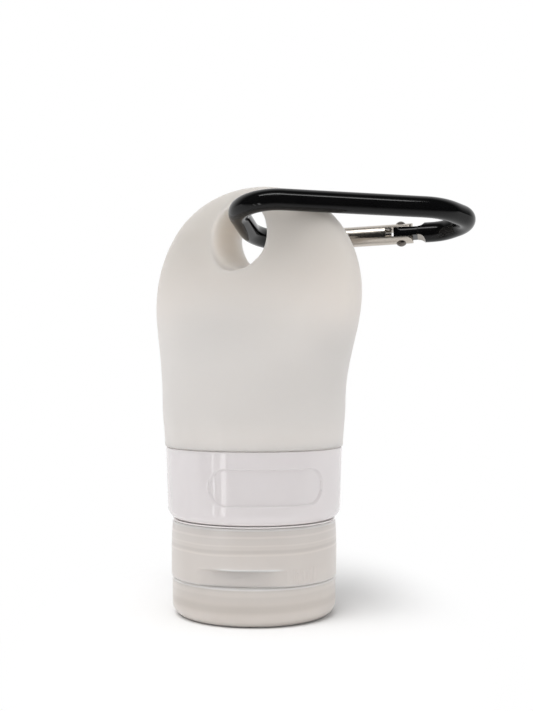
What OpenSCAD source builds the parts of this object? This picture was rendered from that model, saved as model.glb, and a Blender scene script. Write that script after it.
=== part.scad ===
// Travel squeeze bottle of soft translucent silicone. It is stored standing on its
// flip-top cap, and a small D-shaped clip hangs through the hole in its flattened end.
// Millimetres, +Z up. The origin is the middle of the face that it stands on.
// The flattened end is wide along X, and its hanging hole runs along Y.

/* [Cap] */
// Outer diameter of the cap's skirt
cap_d = 36; // [34:0.5:40]
// Height of the cap's skirt, from the parting line to its rim
skirt_h = 12; // [11:0.5:16]
// Wall of the skirt
skirt_wall = 1.4; // [1.2:0.1:1.6]
// How much the skirt draws in towards its rim
skirt_draw = 0.25; // [0:0.05:0.5]
// Thickness of the deck that closes the skirt
deck_t = 1.4; // [1:0.1:2]
// Depth of the thumb scoop in the skirt
thumb_depth = 0.75; // [0.3:0.05:0.9]
// Height of the thumb scoop above the parting line
thumb_h = 3.4; // [2.6:0.1:4]
// Half of the angle that the thumb scoop spans
thumb_half_angle = 32; // [20:1:40]
// Direction in which the thumb scoop faces
thumb_angle = -62; // [-80:1:-40]

/* [Lid] */
// Height of the flip lid
lid_h = 8.3; // [7.8:0.1:10]
// How far the lid's side stands in from the skirt
lid_inset = 0.2; // [0:0.05:0.8]
// Wall of the lid's side
lid_wall = 1.3; // [1:0.1:1.6]
// Thickness of the lid's flat top
lid_top_t = 1.4; // [1:0.1:1.8]
// Radius of the rounded edge that the bottle stands inside of
lid_edge_r = 2.8; // [1.5:0.1:3.5]
// Gap at the parting line between the lid and the skirt
parting_gap = 0.2; // [0.15:0.05:0.4]
// Width of the lugs on either side of the lid's hinge
lug_w = 9; // [6:0.5:12]
// Height of each lug
lug_h = 1.6; // [1:0.1:2.2]

/* [Valve] */
// Outer diameter of the housing that stands out of the deck
housing_d = 22; // [20:0.5:24]
// How far the housing stands out of the deck
housing_h = 4.9; // [4.5:0.1:5.2]
// Wall of the housing
housing_wall = 1.2; // [1:0.1:1.5]
// Diameter of the mouth that the valve dispenses through
mouth_d = 10; // [8:0.5:11]
// Thickness of the valve's rim
valve_rim_t = 1.2; // [0.8:0.1:1.6]
// Thickness of the valve's slit membrane
membrane_t = 0.7; // [0.5:0.1:1]
// Length of each of the two crossed slits
slit_l = 5; // [3:0.5:7]
// Width of a slit
slit_w = 0.12; // [0.08:0.02:0.2]
// Inner diameter of the ring that holds the valve in
retainer_bore = 12; // [11:0.5:14]
// Diameter of the lid's plug, which backs the valve up when the lid is shut
plug_d = 6; // [4:0.5:7]

/* [Neck and collar] */
// Outer diameter of the neck, under its thread
neck_d = 29.8; // [28:0.2:30.4]
// Wall of the neck
neck_wall = 1.7; // [1.2:0.1:2.2]
// Travel of the neck along the cap in one turn
thread_lead = 3; // [2:0.5:4]
// Thickness of the sealing ring between the neck and the deck
seal_t = 1; // [0.6:0.1:1.5]
// Height of the collar
collar_h = 15.4; // [13:0.2:20]
// Diameter of the collar at its lower end
collar_low_d = 37.5; // [36.5:0.1:38]
// Diameter of the collar at its upper end
collar_top_d = 38.5; // [38:0.1:40]
// Wall of the collar
collar_wall = 1.5; // [1.2:0.1:1.6]
// Radius of the collar's rounded lower edge
collar_edge_r = 2.4; // [1:0.1:3]
// Gap between the cap's rim and the collar
collar_gap = 0.4; // [0.3:0.05:1]
// Height of the blank label recess in the collar
label_h = 7.5; // [5:0.1:9]
// Depth of the label recess
label_depth = 0.35; // [0.2:0.05:0.5]
// Half of the angle that the label recess spans
label_half_angle = 39; // [25:1:50]
// Direction in which the label recess faces
label_angle = -43; // [-70:1:-20]

/* [Silicone body] */
// Height of the silicone that shows above the collar
body_h = 56.7; // [52:0.1:62]
// Diameter where it leaves the collar
root_d = 38.9; // [38.7:0.1:41]
// Diameter at the waist, the end of its round part
waist_d = 40; // [39:0.1:42]
// Height of the waist above the collar
waist_h = 9.7; // [7:0.1:12]
// Greatest width of the flattened end
tab_w = 53.8; // [48:0.2:58]
// Height of that greatest width above the collar
widest_h = 34.7; // [31:0.1:38]
// Thickness of the flattened end round the hanging hole
tab_t = 11.6; // [10:0.1:13]
// Height above the collar where the end has thinned down to that
thin_h = 46.7; // [44:0.1:49]
// Wall of the silicone body
body_wall = 2; // [1.5:0.1:2.6]
// Height over which the hollow inside rounds off towards the hole
hollow_round_h = 11; // [8:0.5:14]
// Squareness of the flattened end's section, where 2 is an ellipse
tab_square = 2.3; // [2:0.1:2.8]

/* [Hanging hole] */
// Diameter of the hanging hole
hole_d = 14.4; // [13.4:0.1:15]
// Silicone left between the hole and the top of the bottle
hole_rim = 3.6; // [3:0.1:5]
// Silicone left between the hole and the cavity below it
hole_web = 3.4; // [2.5:0.1:5]
// Radius of the hole's rounded mouth
hole_round = 1.2; // [0.8:0.1:2]

/* [Clip] */
// Diameter of the clip's rod
rod_d = 4.5; // [4:0.1:4.8]
// Length of the straight spine between the corners that its bends round off
spine_l = 45.7; // [43.5:0.1:47]
// Distance from the spine to the corner at the nose, across the clip
nose_w = 28.6; // [27:0.1:29.5]
// How far that corner lies along the spine
nose_lean = 11.4; // [10:0.1:12.5]
// Distance from the spine to the corner behind the gate's hinge
tail_w = 14.4; // [13.5:0.1:15.5]
// How far that corner lies along the spine
tail_run = 50.9; // [49:0.1:52]
// Distance from the spine to the outermost corner of the narrow end
end_w = 6.4; // [6:0.1:7]
// How far that corner lies along the spine
end_run = 55.2; // [54:0.1:56]
// Bend radius from the spine into the wide end
spine_nose_r = 8; // [6:0.1:9]
// Bend radius from the wide end into the gate's side
nose_r = 10.5; // [8:0.1:10.8]
// Bend radius behind the gate's hinge
tail_r = 6.2; // [5:0.1:7]
// Bend radius at the outermost corner
end_r = 5.5; // [4.5:0.1:5.8]
// Bend radius from the narrow end back into the spine
spine_tail_r = 12; // [9:0.1:14]

/* [Gate] */
// Distance from the wide corner to the middle of the gate's rivet
rivet_run = 32.7; // [31:0.1:33]
// Distance from the wide corner to the shoulder at the nose
nose_run = 10.8; // [10.5:0.1:12]
// Distance from the wide corner to the shoulder of the tang
tang_run = 38.1; // [37.7:0.1:38.5]
// Thickness of the tang that the gate turns on
tang_t = 1.95; // [1.6:0.05:2.1]
// Clearance of the tang and the tongue in the gate's slots, on each side
slot_gap = 0.09; // [0.06:0.01:0.15]
// Diameter of the rivet
rivet_d = 1.5; // [1.2:0.1:1.7]
// Running clearance between the rivet and its holes
rivet_gap = 0.04; // [0.02:0.01:0.08]
// Diameter of the rivet's domed heads
rivet_head_d = 2.5; // [2.2:0.1:2.8]
// Diameter of the latch pin
latch_d = 1.2; // [1:0.1:1.4]
// Thickness of the nose's hooked tongue
tongue_t = 1.5; // [1.2:0.1:1.8]
// Gap between the gate's end and the nose
gate_gap = 0.3; // [0.2:0.05:0.5]

/* [Gate spring] */
// Diameter of the spring over all
spring_d = 2.3; // [2:0.05:2.4]
// Diameter of its wire
wire_d = 0.35; // [0.3:0.01:0.4]
// Number of coils
spring_coils = 9; // [6:1:10]
// Depth of its bore in the gate
spring_bore_l = 8; // [7:0.5:12]
// Room between the pusher and the tang, which the tang's corner turns into
pusher_room = 0.45; // [0.4:0.05:0.6]

/* [Hidden] */
$fn = 96;
// Overshoot of a cut past the face that it opens
over = 1;
// Gap between pieces that are assembled tight
seat = 0.05;
// Free space between pieces that move past each other
free = 0.3;

// Heights of the stack, from the face that the bottle stands on
skirt_z = lid_h + parting_gap;
deck_top = skirt_z + deck_t;
rim_z = skirt_z + skirt_h;
collar_z = rim_z + collar_gap;
shoulder_z = collar_z + collar_h;
top_z = shoulder_z + body_h;

// Cap and lid
cap_r = cap_d / 2;
skirt_in_r = cap_r - skirt_wall;
lid_r = cap_r - lid_inset;
hinge_r = cap_r + 0.45;
hinge_z = lid_h + parting_gap / 2;
hinge_angle = thumb_angle + 180;
housing_z = skirt_z - housing_h;
housing_in_r = housing_d / 2 - housing_wall;
valve_z = housing_z + housing_wall;
valve_r = housing_in_r - seat;
retainer_z = valve_z + valve_rim_t;

// Neck and collar
seal_z = deck_top + seat;
neck_z = seal_z + seal_t + seat;
neck_r = neck_d / 2;
neck_bore_r = neck_r - neck_wall;
collar_in_r = collar_low_d / 2 - collar_wall;
lip_t = 1.4;
flange_z = collar_z + lip_t + seat;
flange_t = 1;
sleeve_z = flange_z + flange_t + seat;
sleeve_r = collar_in_r - seat;
sleeve_wall = 1.8;
sleeve_in_r = sleeve_r - sleeve_wall;
insert_r = sleeve_in_r - seat;
insert_top = shoulder_z - 1.2;

// Hanging hole
hole_r = hole_d / 2;
hole_z = top_z - hole_rim - hole_r;
cavity_h = hole_z - hole_r - hole_web - shoulder_z;

// Clip, in the plane of its own rod: X runs along the spine from the wide end
rod_r = rod_d / 2;
corners = [[0, 0], [nose_lean, nose_w], [tail_run, tail_w], [end_run, end_w], [spine_l, 0]];
corner_r = [spine_nose_r, nose_r, tail_r, end_r, spine_tail_r];
corner_count = len(corners);
gate_dir = unit(corners[2] - corners[1]);
gate_turn = atan2(-gate_dir[1], -gate_dir[0]);
// Where the clip lies: the place of its spine's wide corner from the hole, and its turns
clip_corner = [6.95, -18.03, 6.02];
clip_yaw = 47.5;
clip_pitch = 1.4;
clip_tilt = -12.2;

function unit(v) = v / norm(v);
function clamp(t) = min(1, max(0, t));
function mix(a, b, t) = a + (b - a) * t;
// Smooth step from 0 to 1, level at both ends
function ease(t) = (1 - cos(180 * clamp(t))) / 2;
// Quarter of an ellipse, from 1 down to 0
function dome(t) = sqrt(1 - clamp(t) * clamp(t));
function sign_pow(v, p) = sign(v) * pow(abs(v), p);
// Points of an arc about a centre
function arc(centre, r, from, to, steps = 12) =
    [for (i = [0 : steps]) centre + r * [cos(mix(from, to, i / steps)), sin(mix(from, to, i / steps))]];

// Half the width and half the depth of the silicone at a height above the collar
function half_width(h) =
    h < waist_h ? mix(root_d, waist_d, ease(h / waist_h)) / 2
    : h < widest_h ? mix(waist_d, tab_w, ease((h - waist_h) / (widest_h - waist_h))) / 2
    : tab_w / 2 * dome((h - widest_h) / (body_h - widest_h));
function half_depth(h) =
    h < waist_h ? half_width(h)
    : h < thin_h ? mix(waist_d, tab_t, ease((h - waist_h) / (thin_h - waist_h))) / 2
    : tab_t / 2 * dome((h - thin_h) / (body_h - thin_h));
function squareness(h) = mix(2, tab_square, ease((h - waist_h) / (thin_h - waist_h)));

// One ring of points round the body
function section(a, b, n, z, count) =
    [for (i = [0 : count - 1])
        [a * sign_pow(cos(360 * i / count), 2 / n), b * sign_pow(sin(360 * i / count), 2 / n), z]];

// A closed skin over a stack of rings, flat at its foot and pointed at its tip
module skin(rings, tip) {
    count = len(rings[0]);
    last = len(rings) - 1;
    points = concat([for (ring = rings, p = ring) p], [tip]);
    sides = [for (k = [0 : last - 1], i = [0 : count - 1])
        let (j = (i + 1) % count, low = k * count, high = low + count)
        each [[low + i, high + i, high + j], [low + i, high + j, low + j]]];
    cap = [for (i = [0 : count - 1]) [last * count + i, len(points) - 1, last * count + (i + 1) % count]];
    polyhedron(points, concat([[for (i = [0 : count - 1]) i]], sides, cap));
}

module ring(outer, inner, h) {
    difference() {
        cylinder(r = outer, h = h);
        translate([0, 0, -over]) cylinder(r = inner, h = h + 2 * over);
    }
}

// A pocket with round ends that wraps round a wall of radius wall_r
module wrapped_pocket(wall_r, depth, low, high, half_angle) {
    end_r = (high - low) / 2;
    turn = asin(end_r / wall_r);
    intersection() {
        translate([0, 0, low - over]) ring(wall_r + 3, wall_r - depth, high - low + 2 * over);
        union() {
            wedge(wall_r + 4, low + seat, high - seat, half_angle - turn);
            for (side = [-1, 1]) rotate([0, 90, side * (half_angle - turn)])
                translate([-(low + high) / 2, 0, 0]) cylinder(r = end_r, h = wall_r + 4);
        }
    }
}

// A slice of a disc, centred on +X
module wedge(r, low, high, half_angle) {
    translate([0, 0, low]) rotate([0, 0, -half_angle])
        rotate_extrude(angle = 2 * half_angle) square([r, high - low]);
}

// Lug beside the lid's hinge. It stops short of the hinge line.
module hinge_lug(wall_r, low, high) {
    rotate([0, 0, hinge_angle])
        translate([wall_r - 1, -lug_w / 2, low]) cube([hinge_r - 0.15 - wall_r + 1, lug_w, high - low]);
}

// The lid is a shallow shell, and the bottle stands on its flat top.
module flip_lid() {
    inner_r = lid_r - lid_wall;
    inner_edge = max(0.4, lid_edge_r - lid_wall);
    color("#cfcac2") {
        rotate_extrude() polygon(concat(
            [[0, 0]],
            arc([lid_r - lid_edge_r, lid_edge_r], lid_edge_r, -90, 0),
            [[lid_r, lid_h], [inner_r, lid_h]],
            arc([inner_r - inner_edge, lid_top_t + inner_edge], inner_edge, 0, -90, 6),
            [[0, lid_top_t]]));
        // Plug that backs the valve up
        translate([0, 0, lid_top_t - seat]) cylinder(d = plug_d, h = valve_z - free - lid_top_t + seat);
        // Rib that closes round the valve housing
        translate([0, 0, lid_top_t - seat])
            ring(housing_d / 2 + free + 1.1, housing_d / 2 + free, lid_h / 2 - lid_top_t + seat);
        hinge_lug(lid_r, lid_h - lug_h, lid_h);
    }
}

module skirt_wall_shape() {
    steps = 10;
    function draw(t) = skirt_draw * pow(clamp((t - 0.5) / 0.5), 2);
    rotate_extrude() polygon(concat(
        [for (i = [0 : steps]) [cap_r - draw(i / steps), skirt_h * i / steps]],
        [[skirt_in_r, skirt_h], [skirt_in_r, 0]]));
}

// Scoop that runs out into the skirt on both sides: what lies outside a flatter cylinder
module thumb_scoop() {
    edge_x = cap_r * sin(thumb_half_angle);
    sink = cap_r * (1 - cos(thumb_half_angle)) - thumb_depth;
    flat_r = (sink * sink + edge_x * edge_x) / (2 * sink);
    difference() {
        translate([cap_r / 2, -edge_x - over, skirt_z - over])
            cube([cap_r, 2 * (edge_x + over), thumb_h + over]);
        translate([cap_r - thumb_depth - flat_r, 0, skirt_z - 2 * over])
            cylinder(r = flat_r, h = thumb_h + 3 * over);
    }
}

// The cap's skirt screws onto the neck. Its deck carries the valve housing.
module cap_base() {
    color("#d6d1ca") difference() {
        union() {
            translate([0, 0, skirt_z]) skirt_wall_shape();
            translate([0, 0, skirt_z]) ring(skirt_in_r + seat, housing_in_r, deck_t);
            translate([0, 0, housing_z]) ring(housing_d / 2, housing_in_r, housing_h + seat);
            translate([0, 0, housing_z]) ring(housing_in_r + seat, mouth_d / 2, housing_wall);
            hinge_lug(cap_r, skirt_z, skirt_z + lug_h);
        }
        rotate([0, 0, thumb_angle]) thumb_scoop();
    }
}

// Silicone valve: a rim, a dished membrane and two crossed slits
module valve() {
    dish_r = mouth_d / 2 - free;
    color("#e9e7e2") difference() {
        rotate_extrude() polygon(concat(
            [[0, valve_z + valve_rim_t - membrane_t], [0, valve_z + valve_rim_t]],
            [[valve_r, valve_z + valve_rim_t], [valve_r, valve_z]],
            [for (i = [0 : 8]) [mix(dish_r, 0.5, i / 8),
                valve_z + (valve_rim_t - membrane_t) * ease(i / 8)]]));
        for (turn = [0, 90]) rotate([0, 0, turn])
            translate([-slit_l / 2, -slit_w / 2, valve_z - over])
                cube([slit_l, slit_w, valve_rim_t + 2 * over]);
    }
}

// Ring pressed in over the valve's rim. It ends level with the deck.
module valve_retainer() {
    color("#dedad3") translate([0, 0, retainer_z]) ring(valve_r, retainer_bore / 2, deck_top - retainer_z);
}

module neck_seal() {
    color("#f0eee9") translate([0, 0, seal_z]) ring(neck_r, neck_bore_r, seal_t);
}

// The neck is a stiff tube. Its flange and its insert carry the collar and the silicone.
module threaded_neck() {
    color("#dcd8d2") rotate_extrude() polygon([
        [neck_bore_r, neck_z], [neck_r, neck_z],
        [neck_r, flange_z], [collar_in_r - seat, flange_z],
        [collar_in_r - seat, flange_z + flange_t], [insert_r, flange_z + flange_t],
        [insert_r, insert_top - 1], [insert_r - 0.8, insert_top],
        [neck_bore_r, insert_top]]);
}

// Glossy ring round the root of the silicone, with a blank recess for a label
module collar() {
    low_r = collar_low_d / 2;
    top_r = collar_top_d / 2;
    low_edge = [low_r - collar_edge_r, collar_edge_r];
    label_mid = collar_z + 0.52 * collar_h;
    label_r = mix(low_r, top_r, 0.52);
    color("#e2dcdd") difference() {
        translate([0, 0, collar_z]) rotate_extrude() polygon(concat(
            [[neck_r + seat, 0]],
            arc(low_edge, collar_edge_r, -90, 0),
            arc([top_r - 0.3, collar_h - 0.3], 0.3, 0, 90, 4),
            [[collar_in_r, collar_h], [collar_in_r, lip_t], [neck_r + seat, lip_t]]));
        rotate([0, 0, label_angle])
            wrapped_pocket(label_r, label_depth, label_mid - label_h / 2, label_mid + label_h / 2,
                label_half_angle);
    }
}

// The skin of the silicone above the collar
module body_skin() {
    lower = [for (i = [0 : 14]) widest_h * i / 14];
    upper = [for (i = [1 : 11]) widest_h + (body_h - widest_h) * sin(90 * i / 12)];
    skin([for (h = concat(lower, upper))
        section(half_width(h), half_depth(h), squareness(h), shoulder_z + h, 72)], [0, 0, top_z]);
}

// The hollow inside it, from the sleeve's bore up to the web below the hanging hole
module body_hollow() {
    swell_h = 6;
    round_h = cavity_h - hollow_round_h;
    function inset(half, h) =
        mix(sleeve_in_r - free, half - body_wall, ease(h / swell_h)) * dome((h - round_h) / (cavity_h - round_h));
    lower = [for (i = [0 : 9]) round_h * i / 9];
    upper = [for (i = [1 : 6]) round_h + (cavity_h - round_h) * sin(90 * i / 7)];
    skin([for (h = concat(lower, upper))
        section(inset(half_width(h), h), inset(half_depth(h), h), 2, shoulder_z + h, 56)],
        [0, 0, shoulder_z + cavity_h]);
}

// The hanging hole, with a rounded mouth on both faces
module hanging_hole() {
    round_y = tab_t / 2 - hole_round;
    reach = waist_d / 2;
    mouth = [for (i = [0 : 5]) [hole_r + hole_round * (1 - cos(13 * i)), round_y + hole_round * sin(13 * i)]];
    half = concat(mouth, [[mouth[5][0], reach]]);
    translate([0, 0, hole_z]) rotate([90, 0, 0]) rotate_extrude() polygon(concat(
        [[0, -reach]], [for (i = [6 : -1 : 0]) [half[i][0], -half[i][1]]], half, [[0, reach]]));
}

module silicone_body() {
    color("#d4d0cb") difference() {
        union() {
            body_skin();
            translate([0, 0, sleeve_z]) cylinder(r = sleeve_r, h = shoulder_z - sleeve_z + over);
        }
        body_hollow();
        translate([0, 0, sleeve_z - over]) cylinder(r = sleeve_in_r, h = shoulder_z - sleeve_z + 1.3 * over);
        hanging_hole();
    }
}

// Fillets of the clip's outline: how far each arc starts from its corner, and its centre
function before(i) = unit(corners[(i + corner_count - 1) % corner_count] - corners[i]);
function after(i) = unit(corners[(i + 1) % corner_count] - corners[i]);
function opening_angle(i) = acos(before(i) * after(i));
function setback(i) = corner_r[i] / tan(opening_angle(i) / 2);
function bend_centre(i) =
    corners[i] + unit(before(i) + after(i)) * corner_r[i] / sin(opening_angle(i) / 2);
function bend_exit(i) = corners[i] + after(i) * setback(i);
function bend_entry(i) = corners[i] + before(i) * setback(i);

module bend(i) {
    out = bend_exit(i) - bend_centre(i);
    translate(bend_centre(i)) rotate([0, 0, atan2(out[1], out[0])])
        rotate_extrude(angle = 180 - opening_angle(i)) translate([corner_r[i], 0]) circle(r = rod_r, $fn = 48);
}

// Straight run between two bends. It is a hair thicker than they are, and laps over both.
module straight(i) {
    run = bend_entry((i + 1) % corner_count) - bend_exit(i);
    translate(bend_exit(i)) rotate([0, 0, atan2(run[1], run[0])]) along_x(rod_r + hair, -lap, norm(run) + lap);
}

// Puts the clip through the hanging hole, with its spine on the shoulder of the bottle
module place_clip() {
    translate([0, 0, hole_z] + clip_corner) rotate([clip_tilt, clip_pitch, clip_yaw]) children();
}

// The gate's own frame: origin in the rivet, X towards the nose, Y into the clip
module gate_frame() {
    rivet = corners[1] + gate_dir * rivet_run;
    translate(rivet) rotate([0, 0, gate_turn]) children();
}

// Overlap of the clip's straight runs and bends, and how much thicker the runs are
lap = 0.2;
hair = 0.04;

// Distances along the gate, from its rivet
nose_bend_x = rivet_run - setback(1);
tail_bend_x = rivet_run + setback(2) - norm(corners[2] - corners[1]);
nose_x = rivet_run - nose_run;
tang_x = rivet_run - tang_run;
tip_x = nose_x - gate_gap;
latch_x = nose_x - 1.9;
cam_x = 1.65;
tail_end_r = 2.7;
slot_t = tang_t + 2 * slot_gap;
slot_x = 3.5;
head_z = rod_r - 0.25;
pusher_head_l = 1.3;
pusher_x = cam_x + pusher_room;
spring_x = pusher_x + pusher_head_l + seat;
spring_l = slot_x + spring_bore_l - spring_x - seat;

module along_x(r, from, to) {
    translate([from, 0, 0]) rotate([0, 90, 0]) cylinder(r = r, h = to - from, $fn = 48);
}

// Tang of the hinge: a flat on the end of the rod, with a round-bottomed shoulder
module tang() {
    cutter_r = 1.6;
    difference() {
        union() {
            along_x(rod_r + hair, tail_bend_x - lap, tang_x + cutter_r);
            translate([tang_x, -rod_r + 0.15, -tang_t / 2]) cube([-tang_x, rod_d - 0.3, tang_t]);
            intersection() {
                cylinder(r = rod_r - 0.15, h = tang_t, center = true);
                translate([-rod_r, -rod_r, -rod_r]) cube([rod_r + cam_x, rod_d, rod_d]);
            }
        }
        for (side = [-1, 1])
            translate([tang_x + cutter_r, 0, side * (tang_t / 2 + cutter_r)]) rotate([90, 0, 0])
                cylinder(r = cutter_r, h = rod_d + over, center = true);
        cylinder(d = rivet_d, h = rod_d, center = true);
    }
}

// Tongue of the nose, with the notch that the latch pin hooks into
module tongue() {
    notch_r = latch_d / 2 + 0.15;
    difference() {
        translate([latch_x - 1.5, -1.7, -tongue_t / 2]) cube([nose_x - latch_x + 1.5 + seat, 3.4, tongue_t]);
        translate([latch_x, 0, 0]) cylinder(r = notch_r, h = rod_d, center = true);
        translate([latch_x - notch_r, 0, -rod_d / 2]) cube([2 * notch_r, rod_d, rod_d]);
    }
}

// Bent rod, open where the gate closes it
module carabiner_body() {
    color("#141414") place_clip() {
        for (i = [0 : corner_count - 1]) bend(i);
        for (i = [0, 2, 3, 4]) straight(i);
        gate_frame() {
            along_x(rod_r + hair, nose_x, nose_bend_x + lap);
            tang();
            tongue();
        }
    }
}

module hinge_rivet() {
    head_h = 0.9;
    head_r = (pow(rivet_head_d / 2, 2) + head_h * head_h) / (2 * head_h);
    color("#b9b6b0") place_clip() gate_frame() {
        cylinder(d = rivet_d, h = 2 * head_z, center = true);
        for (side = [0, 1]) mirror([0, 0, side]) intersection() {
            translate([0, 0, head_z + head_h - head_r]) sphere(r = head_r);
            translate([0, 0, head_z]) cylinder(d = rivet_head_d, h = head_h + over);
        }
    }
}

module gate() {
    color("#c9c7c3") place_clip() gate_frame() difference() {
        union() {
            along_x(rod_r, 0, tip_x);
            intersection() {
                along_x(rod_r, -rod_d, 0.1);
                cylinder(r = tail_end_r, h = rod_d, center = true);
            }
        }
        // Slot for the tang, and the bore of the spring behind it
        translate([-rod_d, -rod_r - over, -slot_t / 2]) cube([rod_d + slot_x, rod_d + 2 * over, slot_t]);
        along_x(spring_d / 2 + 0.12, spring_x - 0.1, slot_x + spring_bore_l);
        // Slot for the tongue
        translate([latch_x - 1.5 - free, -rod_r - over, -tongue_t / 2 - slot_gap])
            cube([rod_d, rod_d + 2 * over, tongue_t + 2 * slot_gap]);
        // Holes of the rivet and the latch pin, and the spot faces under the rivet's heads
        cylinder(d = rivet_d + 2 * rivet_gap, h = rod_d + over, center = true);
        translate([latch_x, 0, 0]) cylinder(d = latch_d, h = rod_d + over, center = true);
        for (side = [0, 1]) mirror([0, 0, side]) translate([0, 0, head_z - seat])
            cylinder(d = rivet_head_d + 0.3, h = over);
    }
}

module latch_pin() {
    color("#a8a5a0") place_clip() gate_frame()
        translate([latch_x, 0, 0]) cylinder(d = latch_d, h = rod_d - 0.3, center = true);
}

// Headed pin that the spring pushes against the tang
module spring_pusher() {
    color("#d8d5cf") place_clip() gate_frame() {
        along_x(tang_t / 2, pusher_x, pusher_x + pusher_head_l);
        along_x(spring_d / 2 - wire_d - 0.15, pusher_x + pusher_head_l - seat, pusher_x + 4.5);
    }
}

// Points along the spring's wire, eight to a coil
coil_r = (spring_d - wire_d) / 2;
function coil_point(i) =
    [spring_x + wire_d / 2 + (spring_l - wire_d) * i / (8 * spring_coils),
        coil_r * cos(45 * i), coil_r * sin(45 * i)];
coil_points = [for (i = [0 : 8 * spring_coils]) coil_point(i)];
coil_gap = min([for (i = [0 : 8 * spring_coils - 6], j = [i + 6 : 8 * spring_coils])
    norm(coil_points[i] - coil_points[j])]) - wire_d;
echo(least_gap_between_coils = coil_gap);

module gate_spring() {
    sides = 6;
    rings = [for (i = [0 : 8 * spring_coils]) [for (k = [0 : sides - 1])
        coil_points[i] + wire_d / 2 * (cos(60 * k) * [0, cos(45 * i), sin(45 * i)]
            + sin(60 * k) * [1, 0, 0])]];
    last = len(rings) - 1;
    points = [for (r = rings, p = r) p];
    walls = [for (n = [0 : last - 1], k = [0 : sides - 1])
        let (m = (k + 1) % sides, low = n * sides, high = low + sides)
        each [[low + k, low + m, high + m], [low + k, high + m, high + k]]];
    color("#bdbab4") place_clip() gate_frame() polyhedron(points, concat(walls,
        [[for (k = [sides - 1 : -1 : 0]) k], [for (k = [0 : sides - 1]) last * sides + k]]));
}

flip_lid();
cap_base();
valve();
valve_retainer();
neck_seal();
threaded_neck();
collar();
silicone_body();
carabiner_body();
hinge_rivet();
gate();
latch_pin();
spring_pusher();
gate_spring();
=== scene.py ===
import math
import bmesh
import bpy
import numpy as np
from mathutils import Euler, Matrix, Vector


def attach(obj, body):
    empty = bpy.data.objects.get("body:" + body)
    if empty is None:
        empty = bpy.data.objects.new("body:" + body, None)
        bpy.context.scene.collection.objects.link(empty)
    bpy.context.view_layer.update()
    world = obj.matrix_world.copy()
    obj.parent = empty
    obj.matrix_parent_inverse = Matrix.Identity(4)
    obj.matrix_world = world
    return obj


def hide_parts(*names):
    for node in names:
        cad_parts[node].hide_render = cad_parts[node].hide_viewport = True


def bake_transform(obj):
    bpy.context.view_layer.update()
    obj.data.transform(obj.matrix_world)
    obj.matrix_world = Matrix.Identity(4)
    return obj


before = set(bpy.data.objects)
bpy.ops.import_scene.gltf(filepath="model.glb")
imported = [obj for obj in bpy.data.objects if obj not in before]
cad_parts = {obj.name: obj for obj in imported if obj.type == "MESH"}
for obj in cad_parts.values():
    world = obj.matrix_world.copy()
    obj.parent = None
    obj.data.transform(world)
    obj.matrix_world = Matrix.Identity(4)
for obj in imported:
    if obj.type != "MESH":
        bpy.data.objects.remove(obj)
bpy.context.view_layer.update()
print("model loaded, nodes:", len(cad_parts))

mm = 0.001

# the camera stands where the photograph was taken from
view = {"place": (152.0, -197.2, 53.4), "towards": (-0.6018, 0.7986, 0.0), "azimuth": -53,
        "lens": 57.47, "shiftY": 0.0176}

cameraData = bpy.data.cameras.new("bottleCamera")
cameraData.sensor_fit = "VERTICAL"
cameraData.sensor_height = 36
cameraData.lens = view["lens"]
cameraData.shift_y = view["shiftY"]
cameraData.clip_start = 0.01
camera = bpy.data.objects.new("bottleCamera", cameraData)
bpy.context.collection.objects.link(camera)
camera.location = Vector(view["place"]) * mm
camera.rotation_euler = Vector(view["towards"]).to_track_quat("-Z", "Y").to_euler()
bpy.context.scene.camera = camera


class Wire:
    # a socket of a material, so that maths on it adds its nodes
    def __init__(self, tree, socket=None):
        self.tree = tree
        self.socket = socket

    # any node: its type, what is set on it first, then its sockets by name or number
    def node(self, kind, settings=None, sockets=None, out=0):
        made = self.tree.nodes.new(kind)
        for name, value in (settings or {}).items():
            setattr(made, name, value)
        for name, value in (sockets or {}).items():
            if isinstance(value, Wire):
                self.tree.links.new(value.socket, made.inputs[name])
            else:
                made.inputs[name].default_value = value
        return Wire(self.tree, made.outputs[out] if len(made.outputs) else None)

    def also(self, out):
        # another output of the node that this socket belongs to
        return Wire(self.tree, self.socket.node.outputs[out])

    def maths(self, operation, *values):
        return self.node("ShaderNodeMath", {"operation": operation}, dict(enumerate(values)))

    def __add__(self, other):
        return self.maths("ADD", self, other)

    def __radd__(self, other):
        return self.maths("ADD", other, self)

    def __sub__(self, other):
        return self.maths("SUBTRACT", self, other)

    def __rsub__(self, other):
        return self.maths("SUBTRACT", other, self)

    def __mul__(self, other):
        return self.maths("MULTIPLY", self, other)

    def __rmul__(self, other):
        return self.maths("MULTIPLY", other, self)

    def __truediv__(self, other):
        return self.maths("DIVIDE", self, other)

    def __rtruediv__(self, other):
        return self.maths("DIVIDE", other, self)


def tint(red, green, blue):
    # a screen colour from 0 to 255, as the light that it stands for
    def light(v):
        v = v / 255
        return v / 12.92 if v < 0.04045 else ((v + 0.055) / 1.055) ** 2.4
    return (light(red), light(green), light(blue), 1)


def mixColour(wire, factor, low, high):
    return wire.node("ShaderNodeMix", {"data_type": "RGBA"}, {0: factor, 6: low, 7: high}, out=2)


def noise(wire, point, scale, detail=2.0):
    return wire.node("ShaderNodeTexNoise", {}, {"Vector": point, "Scale": scale, "Detail": detail})


def specks(wire, point, scale, size, share):
    # a few small dots of dust
    dots = wire.node("ShaderNodeTexVoronoi", {"feature": "F1"}, {"Vector": point, "Scale": scale})
    few = smoothBand(wire, noise(wire, point, scale / 2.4), share, share + 0.02)
    return smoothBand(wire, dots, size, size * 0.4) * few


def smoothBand(wire, value, start, end):
    # 0 before start, 1 after end, and smooth between
    return wire.node("ShaderNodeMapRange", {"interpolation_type": "SMOOTHSTEP"},
                     {"Value": value, "From Min": start, "From Max": end, "To Min": 0.0, "To Max": 1.0})


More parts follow.
